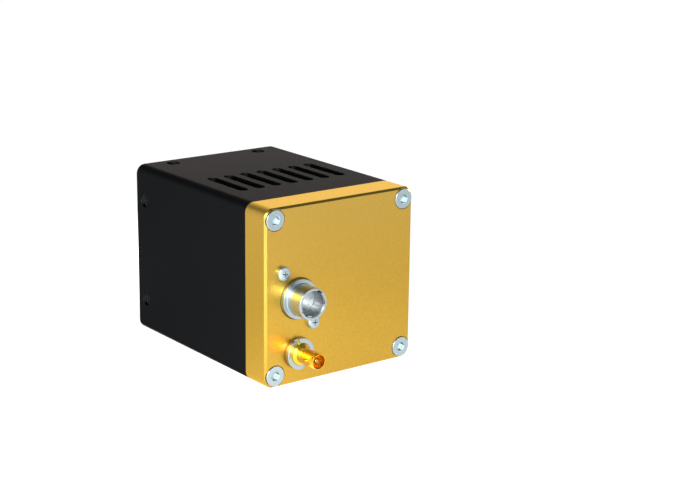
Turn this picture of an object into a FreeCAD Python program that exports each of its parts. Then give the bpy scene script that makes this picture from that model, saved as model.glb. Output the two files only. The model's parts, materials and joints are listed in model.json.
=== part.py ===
import FreeCAD, Part
import math
import os
import Sketcher
from FreeCAD import Vector, Rotation, Placement

# Machine vision camera, millimetres.
# Frame: the origin is the centre of the lens flange face. The lens looks along -Y,
# the body runs back along +Y, +Z is up.

doc = FreeCAD.newDocument("machine_vision_camera")

# ---------------------------------------------------------------- driving dimensions
DIMENSIONS = [
    # outer envelope
    ("body_width", 54.0), ("body_front", 11.3), ("body_rear", 73.5), ("cover_rear", 83.8),
    ("corner_round", 2.9), ("front_chamfer", 0.8), ("cover_chamfer", 0.65),
    ("wall_thickness", 3.0), ("post_size", 7.6), ("cavity_round", 1.2),
    # lens mount collar and the chamber behind it
    ("collar_radius", 19.3), ("collar_chamfer", 1.0), ("thread_radius", 12.7),
    ("thread_lead", 0.2), ("thread_end", 11.8), ("chamber_radius", 15.5),
    ("chamber_end", 15.0), ("package_well", 16.5), ("block_rear", 20.3),
    # tapped mounting holes near the front on all four sides
    ("mount_hole_y", 16.6), ("mount_hole_half", 16.2), ("mount_hole_radius", 2.1),
    ("mount_hole_depth", 6.0), ("mount_hole_lead", 0.16),
    # ventilation slots in the top wall
    ("vent_count", 7), ("vent_pitch", 6.0), ("vent_width", 3.4), ("vent_length", 19.9),
    ("vent_middle", 50.75),
    # rear cover and its screws
    ("cover_face_inside", 80.8), ("screw_place", 23.45), ("screw_head_radius", 3.1),
    ("screw_head_proud", 0.18), ("screw_head_land", 0.6), ("screw_shank_radius", 1.5),
    ("screw_clear_radius", 1.75), ("screw_end", 62.0), ("screw_hole_end", 60.5),
    ("screw_hex_flats", 2.65), ("screw_hex_depth", 1.2), ("screw_lead_radius", 1.6), ("screw_seat_gap", 0.18),
    # round multi-pole receptacle
    ("joint_width", 0.2), ("joint_depth", 0.3), ("recep_x", 15.34), ("recep_z", -1.09), ("recep_ring_radius", 6.06),
    ("recep_step_radius", 6.02), ("recep_ring_top", 85.1), ("recep_line", 83.9), ("hole_chamfer", 0.3),
    ("recep_barrel_radius", 4.8), ("recep_tip", 91.3), ("recep_bore_radius", 4.0),
    ("recep_key_radius", 4.42), ("recep_rib_radius", 3.5), ("recep_groove", 0.16), ("recep_face", 86.1), ("recep_flange_front", 79.3),
    ("recep_tail_radius", 5.3), ("recep_tail_end", 74.5), ("recep_root", 0.34),
    ("pole_radius", 0.32), ("pole_bore", 0.16), ("pole_bore_depth", 3.0), ("pole_tail", 68.1),
    ("pole_outer_circle", 2.75), ("pole_inner_circle", 1.1),
    # small cross-recess screws of the receptacle
    ("small_x_upper", 20.9), ("small_z_upper", 7.4), ("small_x_lower", 10.2),
    ("small_z_lower", -9.0), ("small_head_radius", 2.1), ("small_head_height", 1.55), ("small_head_side", 0.85),
    ("small_shank_radius", 1.0), ("small_clear_radius", 1.15),
    # micro coaxial jack
    ("coax_x", 15.34), ("coax_z", -17.75), ("coax_thread_radius", 3.3),
    ("coax_hole_radius", 3.35), ("coax_thread_top", 85.75), ("coax_barrel_radius", 2.42),
    ("coax_shoulder_top", 86.45), ("coax_tip", 94.2), ("coax_bore_radius", 2.12),
    ("coax_tip_radius", 2.24), ("coax_taper", 1.5),
    ("coax_flange_radius", 4.15), ("coax_flange_front", 79.6), ("coax_tail_radius", 2.5),
    ("washer_radius", 4.85), ("washer_top", 84.2), ("nut_base_radius", 4.74),
    ("nut_face_radius", 4.5), ("nut_top", 85.6),
    # circuit boards, front to back
    ("board_half", 23.3), ("board_notch", 18.8), ("board_thick", 1.6),
    ("cpu_board_front", 36.9), ("io_board_front", 66.5),
    ("stack_x", 20.0), ("stack_z", 9.0), ("standoff_flats", 4.0), ("stack_hole", 1.0),
    # sensor
    ("package_half", 16.0), ("package_front", 16.7), ("package_recess", 14.0),
    ("die_front", 17.526), ("die_seat", 18.3), ("die_half_x", 10.8), ("die_half_z", 13.1),
    ("window_half", 15.6), ("window_front", 16.0),
    # heat sink under the slots
    ("sink_half", 17.0), ("sink_base_front", 41.5), ("sink_base_rear", 44.0),
    ("sink_fin_end", 58.5), ("fin_pitch", 3.4), ("fin_thick", 1.4), ("sink_post", 14.2),
]

sheet = doc.addObject("Spreadsheet::Sheet", "params")
for row, (alias, value) in enumerate(DIMENSIONS, start=1):
    sheet.set("A%d" % row, alias)
    sheet.set("B%d" % row, str(value))
    sheet.setAlias("B%d" % row, alias)
doc.recompute()


class Dim:
    """A length that carries its value and the sheet expression that gives it."""

    def __init__(self, num, txt):
        self.num = float(num)
        self.txt = txt

    def _join(self, other, sign, num):
        return Dim(num, "(%s %s %s)" % (self.txt, sign, dim(other).txt))

    def __add__(self, other):
        return self._join(other, "+", self.num + dim(other).num)

    def __sub__(self, other):
        return self._join(other, "-", self.num - dim(other).num)

    def __mul__(self, other):
        return self._join(other, "*", self.num * dim(other).num)

    def __neg__(self):
        return Dim(-self.num, "(0 - %s)" % self.txt)

    __radd__ = __add__
    __rmul__ = __mul__


def dim(value):
    if isinstance(value, Dim):
        return value
    text = "%.6f" % float(value)
    return Dim(value, text if float(value) >= 0 else "(%s)" % text)


class Params:
    pass


P = Params()
for alias, value in DIMENSIONS:
    setattr(P, alias, Dim(value, "params." + alias))

NODES = []


# ---------------------------------------------------------------- modelling helpers
def bind(obj, prop, value):
    value = dim(value)
    obj.setExpression(prop, value.txt)


def new_body(label, place=None):
    body = doc.addObject("PartDesign::Body", label)
    body.Label = label
    body.AllowCompound = True
    if place:
        bind(body, ".Placement.Base.x", place[0])
        bind(body, ".Placement.Base.z", place[1])
    NODES.append(body)
    return body


def origin_of(body, role):
    for feature in body.Origin.OriginFeatures:
        if feature.Role == role:
            return feature
    raise ValueError(role)


def sketch(body, name, role="XZ_Plane", at=0.0):
    """Sketch on an origin plane. On XZ_Plane u is X, v is Z and the normal is -Y."""
    sk = body.newObject("Sketcher::SketchObject", body.Label + "_" + name)
    sk.AttachmentSupport = [(origin_of(body, role), "")]
    sk.MapMode = "FlatFace"
    at = dim(at)
    if role == "XZ_Plane":
        at = -at
    bind(sk, ".AttachmentOffset.Base.z", at)
    return sk


def pin_point(sk, geo, pos, u, v):
    u, v = dim(u), dim(v)
    if abs(u.num) < 1e-9:
        sk.addConstraint(Sketcher.Constraint("PointOnObject", geo, pos, -2))
    else:
        c = sk.addConstraint(Sketcher.Constraint("DistanceX", -1, 1, geo, pos, u.num))
        sk.setExpression("Constraints[%d]" % c, u.txt)
    if abs(v.num) < 1e-9:
        sk.addConstraint(Sketcher.Constraint("PointOnObject", geo, pos, -1))
    else:
        c = sk.addConstraint(Sketcher.Constraint("DistanceY", -1, 1, geo, pos, v.num))
        sk.setExpression("Constraints[%d]" % c, v.txt)


def circle(sk, radius, u=0.0, v=0.0):
    radius, u, v = dim(radius), dim(u), dim(v)
    geo = sk.addGeometry(Part.Circle(Vector(u.num, v.num, 0), Vector(0, 0, 1), radius.num), False)
    if abs(u.num) < 1e-9 and abs(v.num) < 1e-9:
        sk.addConstraint(Sketcher.Constraint("Coincident", geo, 3, -1, 1))
    else:
        pin_point(sk, geo, 3, u, v)
    c = sk.addConstraint(Sketcher.Constraint("Radius", geo, radius.num))
    sk.setExpression("Constraints[%d]" % c, radius.txt)
    return geo


def polygon(sk, points):
    points = [(dim(a), dim(b)) for a, b in points]
    first = None
    last = None
    count = len(points)
    for i in range(count):
        a, b = points[i], points[(i + 1) % count]
        geo = sk.addGeometry(Part.LineSegment(Vector(a[0].num, a[1].num, 0),
                                              Vector(b[0].num, b[1].num, 0)), False)
        if first is None:
            first = geo
        else:
            sk.addConstraint(Sketcher.Constraint("Coincident", last, 2, geo, 1))
        last = geo
    sk.addConstraint(Sketcher.Constraint("Coincident", last, 2, first, 1))
    for i in range(count):
        pin_point(sk, first + i, 1, points[i][0], points[i][1])
    return first


def rectangle(sk, u0, u1, v0, v1):
    return polygon(sk, [(u0, v0), (u1, v0), (u1, v1), (u0, v1)])


def slot(sk, radius, u, v0, v1):
    """Round-ended slot along v, end centres at v0 and v1."""
    radius, u, v0, v1 = dim(radius), dim(u), dim(v0), dim(v1)
    r, x, a, b = radius.num, u.num, v0.num, v1.num
    up, z = Vector(0, 0, 1), 0.0
    g0 = sk.addGeometry(Part.ArcOfCircle(Part.Circle(Vector(x, b, z), up, r), 0, math.pi), False)
    g1 = sk.addGeometry(Part.LineSegment(Vector(x - r, b, z), Vector(x - r, a, z)), False)
    g2 = sk.addGeometry(Part.ArcOfCircle(Part.Circle(Vector(x, a, z), up, r), math.pi, 2 * math.pi), False)
    g3 = sk.addGeometry(Part.LineSegment(Vector(x + r, a, z), Vector(x + r, b, z)), False)
    sk.addConstraint([
        Sketcher.Constraint("Tangent", g0, 2, g1, 1), Sketcher.Constraint("Tangent", g1, 2, g2, 1),
        Sketcher.Constraint("Tangent", g2, 2, g3, 1), Sketcher.Constraint("Tangent", g3, 2, g0, 1)])
    pin_point(sk, g0, 3, u, v1)
    pin_point(sk, g2, 3, u, v0)
    c = sk.addConstraint(Sketcher.Constraint("Radius", g0, r))
    sk.setExpression("Constraints[%d]" % c, radius.txt)


def volume(body):
    doc.recompute()
    return body.Shape.Volume if body.Shape and not body.Shape.isNull() else 0.0


def expect(body, before, sign, name):
    after = volume(body)
    if sign * (after - before) <= 1e-6:
        raise RuntimeError("%s %s changed the volume from %.3f to %.3f" % (body.Label, name, before, after))


def pad(body, sk, length, back=True):
    """Pad towards +Y from an XZ sketch (back=True), or along the sketch normal."""
    before = volume(body)
    f = body.newObject("PartDesign::Pad", sk.Name + "_pad")
    f.Profile = sk
    f.Reversed = bool(back)
    bind(f, "Length", length)
    expect(body, before, +1, f.Name)
    return f


def pocket(body, sk, length, back=True):
    """Pocket towards +Y from an XZ sketch (back=True), or towards -Y (back=False)."""
    before = volume(body)
    f = body.newObject("PartDesign::Pocket", sk.Name + "_pocket")
    f.Profile = sk
    f.Reversed = not back
    bind(f, "Length", length)
    expect(body, before, -1, f.Name)
    return f


def revolve(body, sk, groove=False):
    before = volume(body)
    kind = "PartDesign::Groove" if groove else "PartDesign::Revolution"
    f = body.newObject(kind, sk.Name + ("_groove" if groove else "_turn"))
    f.Profile = sk
    f.ReferenceAxis = (sk, ["V_Axis"])
    f.Angle = 360.0
    expect(body, before, -1 if groove else +1, f.Name)
    return f


def polar(body, features, count):
    f = body.newObject("PartDesign::PolarPattern", body.Label + "_polar%d" % len(body.Group))
    f.Originals = list(features)
    f.Axis = (origin_of(body, "Y_Axis"), [""])
    f.Angle = 360.0
    f.Occurrences = count
    body.Tip = f
    doc.recompute()
    return f


def linear(body, features, role, length, count):
    f = body.newObject("PartDesign::LinearPattern", body.Label + "_row%d" % len(body.Group))
    f.Originals = list(features)
    f.Direction = (origin_of(body, role), [""])
    bind(f, "Length", length)
    f.Occurrences = count
    body.Tip = f
    doc.recompute()
    return f


def edges_where(feature, test):
    names = []
    for i, e in enumerate(feature.Shape.Edges, start=1):
        if test(e):
            names.append("Edge%d" % i)
    if not names:
        raise RuntimeError("no edge found on " + feature.Name)
    return names


def dress(body, kind, feature, test, size):
    doc.recompute()
    f = body.newObject("PartDesign::" + kind, body.Label + "_%s%d" % (kind.lower(), len(body.Group)))
    f.Base = (feature, edges_where(feature, test))
    bind(f, "Radius" if kind == "Fillet" else "Size", size)
    doc.recompute()
    return f


def flat_at(y, eps=1e-4):
    """Edges that lie in the plane Y = y."""
    def test(e):
        b = e.BoundBox
        return abs(b.YMin - y) < eps and abs(b.YMax - y) < eps
    return test


def along_y(points, eps=1e-3, shortest=0.5):
    """Straight edges parallel to Y that pass through one of the (x, z) points."""
    def test(e):
        b = e.BoundBox
        if b.YLength < shortest or b.XLength > eps or b.ZLength > eps:
            return False
        return any(abs(b.XMin - x) < eps and abs(b.ZMin - z) < eps for x, z in points)
    return test


def circle_edge(y, radius, x=0.0, z=0.0, eps=1e-3):
    """The circular edge of one radius about one axis parallel to Y, in the plane Y = y."""
    def test(e):
        c = e.Curve
        if not isinstance(c, Part.Circle) or abs(c.Radius - radius) > eps:
            return False
        m = c.Center
        return abs(m.y - y) < eps and abs(m.x - x) < eps and abs(m.z - z) < eps
    return test


def signs(a, b):
    return [(a, b), (-a, b), (-a, -b), (a, -b)]


def block(label, x0, x1, y0, y1, z0, z1):
    """Plain rectangular piece as a Part primitive."""
    f = doc.addObject("Part::Box", label)
    f.Label = label
    for prop, value in (("Length", dim(x1) - x0), ("Width", dim(y1) - y0), ("Height", dim(z1) - z0),
                        (".Placement.Base.x", x0), (".Placement.Base.y", y0), (".Placement.Base.z", z0)):
        bind(f, prop, value)
    doc.recompute()
    return f


def group(label, parts):
    """Several like pieces kept together as one compound."""
    f = doc.addObject("Part::Compound", label)
    f.Label = label
    f.Links = parts
    doc.recompute()
    NODES.append(f)
    return f


HALF = P.body_width * 0.5
INNER = HALF - P.wall_thickness
POST = HALF - P.post_size
BLOCK = P.block_rear
SENSOR_REAR = BLOCK + P.board_thick
CPU_REAR = P.cpu_board_front + P.board_thick
IO_REAR = P.io_board_front + P.board_thick


def cavity_outline(inner, post):
    """Square room with a square screw post left standing in each corner."""
    return [(post, inner), (-post, inner), (-post, post), (-inner, post), (-inner, -post),
            (-post, -post), (-post, -inner), (post, -inner), (post, -post), (inner, -post),
            (inner, post), (post, post)]


# ---------------------------------------------------------------- housing
# One milled block: square body, round lens collar, sensor chamber, electronics room.
housing = new_body("housing")
s = sketch(housing, "outline", at=P.body_front)
rectangle(s, -HALF, HALF, -HALF, HALF)
f = pad(housing, s, P.body_rear - P.body_front)
f = dress(housing, "Fillet", f, along_y(signs(HALF.num, HALF.num)), P.corner_round)
f = dress(housing, "Chamfer", f, flat_at(P.body_front.num), P.front_chamfer)
s = sketch(housing, "collar")
circle(s, P.collar_radius)
f = pad(housing, s, P.body_front + 0.5)
f = dress(housing, "Chamfer", f, circle_edge(0.0, P.collar_radius.num), P.collar_chamfer)
s = sketch(housing, "thread_bore")
circle(s, P.thread_radius)
f = pocket(housing, s, P.thread_end)
f = dress(housing, "Chamfer", f, circle_edge(0.0, P.thread_radius.num), P.thread_lead)
s = sketch(housing, "chamber", at=P.thread_end)
circle(s, P.chamber_radius)
f = pocket(housing, s, P.chamber_end - P.thread_end)
s = sketch(housing, "sensor_well", at=P.chamber_end)
rectangle(s, -P.package_well, P.package_well, -P.package_well, P.package_well)
f = pocket(housing, s, BLOCK - P.chamber_end)
s = sketch(housing, "room", at=BLOCK)
polygon(s, cavity_outline(INNER, POST))
f = pocket(housing, s, P.body_rear - BLOCK)
f = dress(housing, "Fillet", f, along_y(
    [(a, b) for a, b in signs(INNER.num, POST.num)] + [(a, b) for a, b in signs(POST.num, INNER.num)]), P.cavity_round)
s = sketch(housing, "post_holes", at=P.body_rear)
for a, b in signs(1, 1):
    circle(s, P.screw_shank_radius, P.screw_place * a, P.screw_place * b)
f = pocket(housing, s, P.body_rear - P.screw_hole_end, back=False)
s = sketch(housing, "stack_holes", at=BLOCK)
for a, b in signs(1, 1):
    circle(s, P.stack_hole, P.stack_x * a, P.stack_z * b)
f = pocket(housing, s, 4.6, back=False)
# tapped mounting holes, two in each long side near the front
s = sketch(housing, "mount_holes", role="YZ_Plane", at=HALF)
circle(s, P.mount_hole_radius, P.mount_hole_y, P.mount_hole_half)
circle(s, P.mount_hole_radius, P.mount_hole_y, -P.mount_hole_half)
f = pocket(housing, s, P.mount_hole_depth)
f = polar(housing, [f], 4)


def mount_mouth(e):
    c = e.Curve
    if not isinstance(c, Part.Circle) or abs(c.Radius - P.mount_hole_radius.num) > 1e-3:
        return False
    m = c.Center
    return abs(max(abs(m.x), abs(m.z)) - HALF.num) < 1e-3


f = dress(housing, "Chamfer", f, mount_mouth, P.mount_hole_lead)
# ventilation slots in the top wall
s = sketch(housing, "vent", role="XY_Plane", at=HALF)
reach = (P.vent_length - P.vent_width) * 0.5
slot(s, P.vent_width * 0.5, P.vent_pitch * -3.0, P.vent_middle - reach, P.vent_middle + reach)
f = pocket(housing, s, P.wall_thickness + 0.2)
f = linear(housing, [f], "X_Axis", P.vent_pitch * 6.0, 7)

# ---------------------------------------------------------------- rear cover
rear_cover = new_body("rear_cover")
s = sketch(rear_cover, "outline", at=P.body_rear)
rectangle(s, -HALF, HALF, -HALF, HALF)
f = pad(rear_cover, s, P.cover_rear - P.body_rear)
# narrow groove all round the joint with the body
s = sketch(rear_cover, "joint_groove", at=P.body_rear)
rectangle(s, -HALF - 1.0, HALF + 1.0, -HALF - 1.0, HALF + 1.0)
LAND = HALF - P.joint_depth
rectangle(s, -LAND, LAND, -LAND, LAND)
f = pocket(rear_cover, s, P.joint_width)
f = dress(rear_cover, "Fillet", f, along_y(signs(LAND.num, LAND.num), shortest=0.1),
          P.corner_round - P.joint_depth)
f = dress(rear_cover, "Fillet", f, along_y(signs(HALF.num, HALF.num)), P.corner_round)
f = dress(rear_cover, "Chamfer", f, flat_at(P.cover_rear.num), P.cover_chamfer)
s = sketch(rear_cover, "room", at=P.body_rear)
polygon(s, cavity_outline(INNER, POST))
f = pocket(rear_cover, s, P.cover_face_inside - P.body_rear)
f = dress(rear_cover, "Fillet", f, along_y(
    [(a, b) for a, b in signs(INNER.num, POST.num)] + [(a, b) for a, b in signs(POST.num, INNER.num)]), P.cavity_round)
s = sketch(rear_cover, "connector_holes", at=P.cover_rear)
circle(s, P.recep_ring_radius, P.recep_x, P.recep_z)
circle(s, P.small_clear_radius, P.small_x_upper, P.small_z_upper)
circle(s, P.small_clear_radius, P.small_x_lower, P.small_z_lower)
circle(s, P.coax_hole_radius, P.coax_x, P.coax_z)
f = pocket(rear_cover, s, 4.0, back=False)
f = dress(rear_cover, "Chamfer", f, circle_edge(P.cover_rear.num, P.recep_ring_radius.num, P.recep_x.num, P.recep_z.num),
          P.hole_chamfer)
# countersunk seats for the four corner screws
s = sketch(rear_cover, "seat", role="XY_Plane", at=P.screw_place)
cone_low = P.cover_rear - P.screw_head_land - (P.screw_head_radius - P.screw_shank_radius)
top = P.cover_rear + 0.4
polygon(s, [(P.screw_place, P.body_rear - 0.2), (P.screw_place + P.screw_clear_radius, P.body_rear - 0.2),
            (P.screw_place + P.screw_clear_radius, cone_low + (P.screw_clear_radius - P.screw_shank_radius)),
            (P.screw_place + P.screw_head_radius, P.cover_rear - P.screw_head_land),
            (P.screw_place + (P.screw_head_radius + P.screw_seat_gap), P.cover_rear - P.screw_head_land),
            (P.screw_place + (P.screw_head_radius + P.screw_seat_gap), top), (P.screw_place, top)])
s.addGeometry(Part.LineSegment(Vector(P.screw_place.num, 70, 0), Vector(P.screw_place.num, 90, 0)), True)
axis_line = s.GeometryCount - 1
s.addConstraint(Sketcher.Constraint("Vertical", axis_line))
pin_point(s, axis_line, 1, P.screw_place, P.body_rear - 3.5)
before = volume(rear_cover)
f = rear_cover.newObject("PartDesign::Groove", "rear_cover_seat_groove")
f.Profile = s
f.ReferenceAxis = (s, ["Axis0"])
f.Angle = 360.0
expect(rear_cover, before, -1, f.Name)
f = polar(rear_cover, [f], 4)

# ---------------------------------------------------------------- corner screws of the cover
cover_screws = new_body("cover_screws")
s = sketch(cover_screws, "profile", role="XY_Plane", at=P.screw_place)
X = P.screw_place
face = P.cover_rear + P.screw_head_proud
land = P.cover_rear - P.screw_head_land
polygon(s, [(X, P.screw_end), (X + (P.screw_shank_radius - 0.35), P.screw_end),
            (X + P.screw_shank_radius, P.screw_end + 0.35), (X + P.screw_shank_radius, cone_low),
            (X + P.screw_head_radius, land), (X + P.screw_head_radius, face - 0.14),
            (X + (P.screw_head_radius - 0.12), face), (X + P.screw_lead_radius, face),
            (X + P.screw_hex_flats * 0.5, face - 0.09), (X, face - 0.09)])
s.addGeometry(Part.LineSegment(Vector(X.num, 60, 0), Vector(X.num, 90, 0)), True)
axis_line = s.GeometryCount - 1
s.addConstraint(Sketcher.Constraint("Vertical", axis_line))
pin_point(s, axis_line, 1, X, P.screw_end - 2.0)
f = cover_screws.newObject("PartDesign::Revolution", "cover_screws_turn")
f.Profile = s
f.ReferenceAxis = (s, ["Axis0"])
f.Angle = 360.0
volume(cover_screws)
f = polar(cover_screws, [f], 4)
s = sketch(cover_screws, "hex", at=face)
hex_r = P.screw_hex_flats * (0.5 / math.cos(math.pi / 6))
for a, b in ((1, 1), (-1, 1), (-1, -1), (1, -1)):
    polygon(s, [(X * a + hex_r * math.cos(math.pi / 3 * k), X * b + hex_r * math.sin(math.pi / 3 * k))
                for k in range(6)])
f = pocket(cover_screws, s, P.screw_hex_depth, back=False)

# ---------------------------------------------------------------- multi-pole receptacle
recep_place = (P.recep_x, P.recep_z)
receptacle_shell = new_body("receptacle_shell", recep_place)
s = sketch(receptacle_shell, "profile", role="XY_Plane")
R, B = P.recep_ring_radius, P.recep_barrel_radius
polygon(s, [(P.recep_bore_radius, P.recep_tail_end), (P.recep_tail_radius, P.recep_tail_end),
            (P.recep_tail_radius, P.recep_flange_front + 0.2), (R, P.recep_flange_front + 0.2),
            (R, P.recep_line), (P.recep_step_radius, P.recep_line + 0.04),
            (P.recep_step_radius, P.recep_ring_top - 0.07), (P.recep_step_radius - 0.07, P.recep_ring_top)] +
        [(B + P.recep_root * (1.0 - math.sin(math.radians(a))),
          P.recep_ring_top + P.recep_root * (1.0 - math.cos(math.radians(a)))) for a in range(0, 91, 15)] +
        [(B, P.recep_tip - 0.08), (B - 0.08, P.recep_tip),
         (P.recep_bore_radius + 0.05, P.recep_tip), (P.recep_bore_radius, P.recep_tip - 0.05)])
revolve(receptacle_shell, s)
# retaining ear plate behind the cover, tapped for the two small screws
s = sketch(receptacle_shell, "ears", at=P.recep_flange_front)
dx1, dz1 = P.small_x_upper - P.recep_x, P.small_z_upper - P.recep_z
dx2, dz2 = P.small_x_lower - P.recep_x, P.small_z_lower - P.recep_z
turn = math.atan2(dz1.num, dx1.num)
nx, nz = -math.sin(turn), math.cos(turn)
ux, uz = math.cos(turn), math.sin(turn)


def ear(along, across):
    return (dim(along) * ux + dim(across) * nx, dim(along) * uz + dim(across) * nz)


reach1 = dx1 * ux + dz1 * uz
reach2 = dx2 * ux + dz2 * uz
polygon(s, [ear(reach1 + 2.3, -1.2), ear(reach1 + 2.3, 1.2), ear(reach1 + 1.2, 2.3), ear(4.5, 6.3),
            ear(-4.5, 6.3), ear(reach2 - 1.2, 2.3), ear(reach2 - 2.3, 1.2), ear(reach2 - 2.3, -1.2),
            ear(reach2 - 1.2, -2.3), ear(-4.5, -6.3), ear(4.5, -6.3), ear(reach1 + 1.2, -2.3)])
circle(s, P.recep_bore_radius)
circle(s, P.small_shank_radius, dx1, dz1)
circle(s, P.small_shank_radius, dx2, dz2)
pad(receptacle_shell, s, P.cover_face_inside - P.recep_flange_front)
# keyways cut into the wall of the socket
def across_wall(angle, width, low, high):
    """Rectangle that crosses the socket's wall at an angle, from one radius to another."""
    c, n = math.cos(math.radians(angle)), math.sin(math.radians(angle))
    h = width / 2
    return [(low * c + h * n, low * n - h * c), (high * c + h * n, high * n - h * c),
            (high * c - h * n, high * n + h * c), (low * c - h * n, low * n + h * c)]


s = sketch(receptacle_shell, "keyways", at=P.recep_tip)
for angle, width in ((123.0, 1.7), (336.0, 0.36)):
    polygon(s, across_wall(angle, width, P.recep_bore_radius - 0.4, P.recep_key_radius))
pocket(receptacle_shell, s, P.recep_tip - P.recep_face, back=False)
# short notch in the rim, and the shallow groove that starts below it and runs down to the floor
s = sketch(receptacle_shell, "rim_notch", at=P.recep_tip)
polygon(s, across_wall(180.0, 1.3, P.recep_bore_radius - 0.4, P.recep_bore_radius + 0.2))
pocket(receptacle_shell, s, 0.7, back=False)
s = sketch(receptacle_shell, "wall_groove", at=P.recep_tip - 1.0)
polygon(s, across_wall(200.3, 1.22, P.recep_bore_radius - 0.4, P.recep_bore_radius + P.recep_groove))
pocket(receptacle_shell, s, P.recep_tip - 1.0 - P.recep_face, back=False)
# ribs that stand inwards from the wall, one nearly to the rim and one set back
s = sketch(receptacle_shell, "rib", at=P.recep_face)
polygon(s, across_wall(66.0, 0.5, P.recep_rib_radius + 0.2, P.recep_bore_radius + 0.25))
pad(receptacle_shell, s, P.recep_tip - P.recep_face - 0.12)
s = sketch(receptacle_shell, "low_rib", at=P.recep_face)
polygon(s, across_wall(282.0, 1.6, P.recep_rib_radius, P.recep_bore_radius + 0.25))
pad(receptacle_shell, s, P.recep_tip - P.recep_face - 0.55)

POLES = [(P.pole_outer_circle, 20.0 + 40.0 * k) for k in range(9)] + \
        [(P.pole_inner_circle, 40.0 + 120.0 * k) for k in range(3)]

receptacle_insulator = new_body("receptacle_insulator", recep_place)
s = sketch(receptacle_insulator, "disc", at=P.recep_tail_end - 1.5)
circle(s, P.recep_bore_radius)
pad(receptacle_insulator, s, P.recep_face - P.recep_tail_end + 1.5)
s = sketch(receptacle_insulator, "ways", at=P.recep_face)
for radius, angle in POLES:
    circle(s, P.pole_radius, radius * math.cos(math.radians(angle)), radius * math.sin(math.radians(angle)))
pocket(receptacle_insulator, s, 30.0, back=False)

# twelve socket contacts, flush with the insulator's face
receptacle_contacts = new_body("receptacle_contacts", recep_place)
s = sketch(receptacle_contacts, "poles", at=P.pole_tail)
for radius, angle in POLES:
    circle(s, P.pole_radius, radius * math.cos(math.radians(angle)), radius * math.sin(math.radians(angle)))
pad(receptacle_contacts, s, P.recep_face - P.pole_tail)
s = sketch(receptacle_contacts, "bores", at=P.recep_face)
for radius, angle in POLES:
    circle(s, P.pole_bore, radius * math.cos(math.radians(angle)), radius * math.sin(math.radians(angle)))
pocket(receptacle_contacts, s, P.pole_bore_depth, back=False)

# two cross-recess screws that hold the receptacle
receptacle_screws = new_body("receptacle_screws")
heads = []
for k, (cx, cz) in enumerate(((P.small_x_upper, P.small_z_upper), (P.small_x_lower, P.small_z_lower))):
    s = sketch(receptacle_screws, "profile%d" % k, role="XY_Plane", at=cz)
    rim, crown = P.small_head_radius, P.cover_rear + P.small_head_height
    polygon(s, [(cx, P.recep_flange_front - 0.4), (cx + (P.small_shank_radius - 0.2), P.recep_flange_front - 0.4),
                (cx + P.small_shank_radius, P.recep_flange_front - 0.2), (cx + P.small_shank_radius, P.cover_rear),
                (cx + rim, P.cover_rear), (cx + rim, P.cover_rear + P.small_head_side)] +
            [(cx + rim * math.cos(math.radians(a)),
              P.cover_rear + P.small_head_side + (P.small_head_height - P.small_head_side) * math.sin(math.radians(a)))
             for a in (15, 30, 45, 60, 75)] + [(cx, crown)])
    s.addGeometry(Part.LineSegment(Vector(cx.num, 70, 0), Vector(cx.num, 90, 0)), True)
    axis_line = s.GeometryCount - 1
    s.addConstraint(Sketcher.Constraint("Vertical", axis_line))
    pin_point(s, axis_line, 1, cx, P.recep_flange_front - 3.0)
    f = receptacle_screws.newObject("PartDesign::Revolution", "receptacle_screws_turn%d" % k)
    f.Profile = s
    f.ReferenceAxis = (s, ["Axis0"])
    f.Angle = 360.0
    volume(receptacle_screws)
s = sketch(receptacle_screws, "cross", at=P.cover_rear + P.small_head_height)
for (cx, cz), angle in (((P.small_x_upper, P.small_z_upper), 10.0), ((P.small_x_lower, P.small_z_lower), 4.0)):
    c, n = math.cos(math.radians(angle)), math.sin(math.radians(angle))
    arm, half = 0.95, 0.16
    plus = [(arm, -half), (arm, half), (half, half), (half, arm), (-half, arm), (-half, half),
            (-arm, half), (-arm, -half), (-half, -half), (-half, -arm), (half, -arm), (half, -half)]
    polygon(s, [(cx + (a * c - b * n), cz + (a * n + b * c)) for a, b in plus])
pocket(receptacle_screws, s, 1.0, back=False)

# ---------------------------------------------------------------- micro coaxial jack
coax_place = (P.coax_x, P.coax_z)
coax_jack_body = new_body("coax_jack_body", coax_place)
s = sketch(coax_jack_body, "profile", role="XY_Plane")
T = P.coax_tip
seat = T - 5.6
polygon(s, [(0.0, IO_REAR), (P.coax_tail_radius, IO_REAR), (P.coax_tail_radius, P.coax_flange_front),
            (P.coax_flange_radius, P.coax_flange_front), (P.coax_flange_radius, P.cover_face_inside),
            (P.coax_thread_radius, P.cover_face_inside), (P.coax_thread_radius, P.coax_thread_top),
            (P.coax_barrel_radius + 0.12, P.coax_shoulder_top), (P.coax_barrel_radius, P.coax_shoulder_top + 0.14),
            (P.coax_barrel_radius, T - P.coax_taper), (P.coax_tip_radius, T),
            (P.coax_bore_radius, T), (P.coax_bore_radius, seat), (0.0, seat)])
revolve(coax_jack_body, s)
# through-way for the insulated centre contact
s = sketch(coax_jack_body, "way", at=seat)
circle(s, 1.3)
pocket(coax_jack_body, s, 40.0, back=False)
# two bayonet lugs, opposite each other
s = sketch(coax_jack_body, "lugs", role="YZ_Plane", at=0.0)
circle(s, 0.62, T - 3.3, 0.0)
before = volume(coax_jack_body)
f = coax_jack_body.newObject("PartDesign::Pad", "coax_jack_body_lugs_pad")
f.Profile = s
f.Midplane = True
f.Length = 5.5
doc.recompute()
s = sketch(coax_jack_body, "lug_bore", at=T)
circle(s, P.coax_bore_radius)
pocket(coax_jack_body, s, T - seat, back=False)

coax_dielectric = new_body("coax_dielectric", coax_place)
s = sketch(coax_dielectric, "profile", role="XY_Plane")
polygon(s, [(0.38, IO_REAR), (1.3, IO_REAR), (1.3, seat), (1.05, seat), (1.05, seat + 1.4), (0.38, seat + 1.4)])
revolve(coax_dielectric, s)

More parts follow.
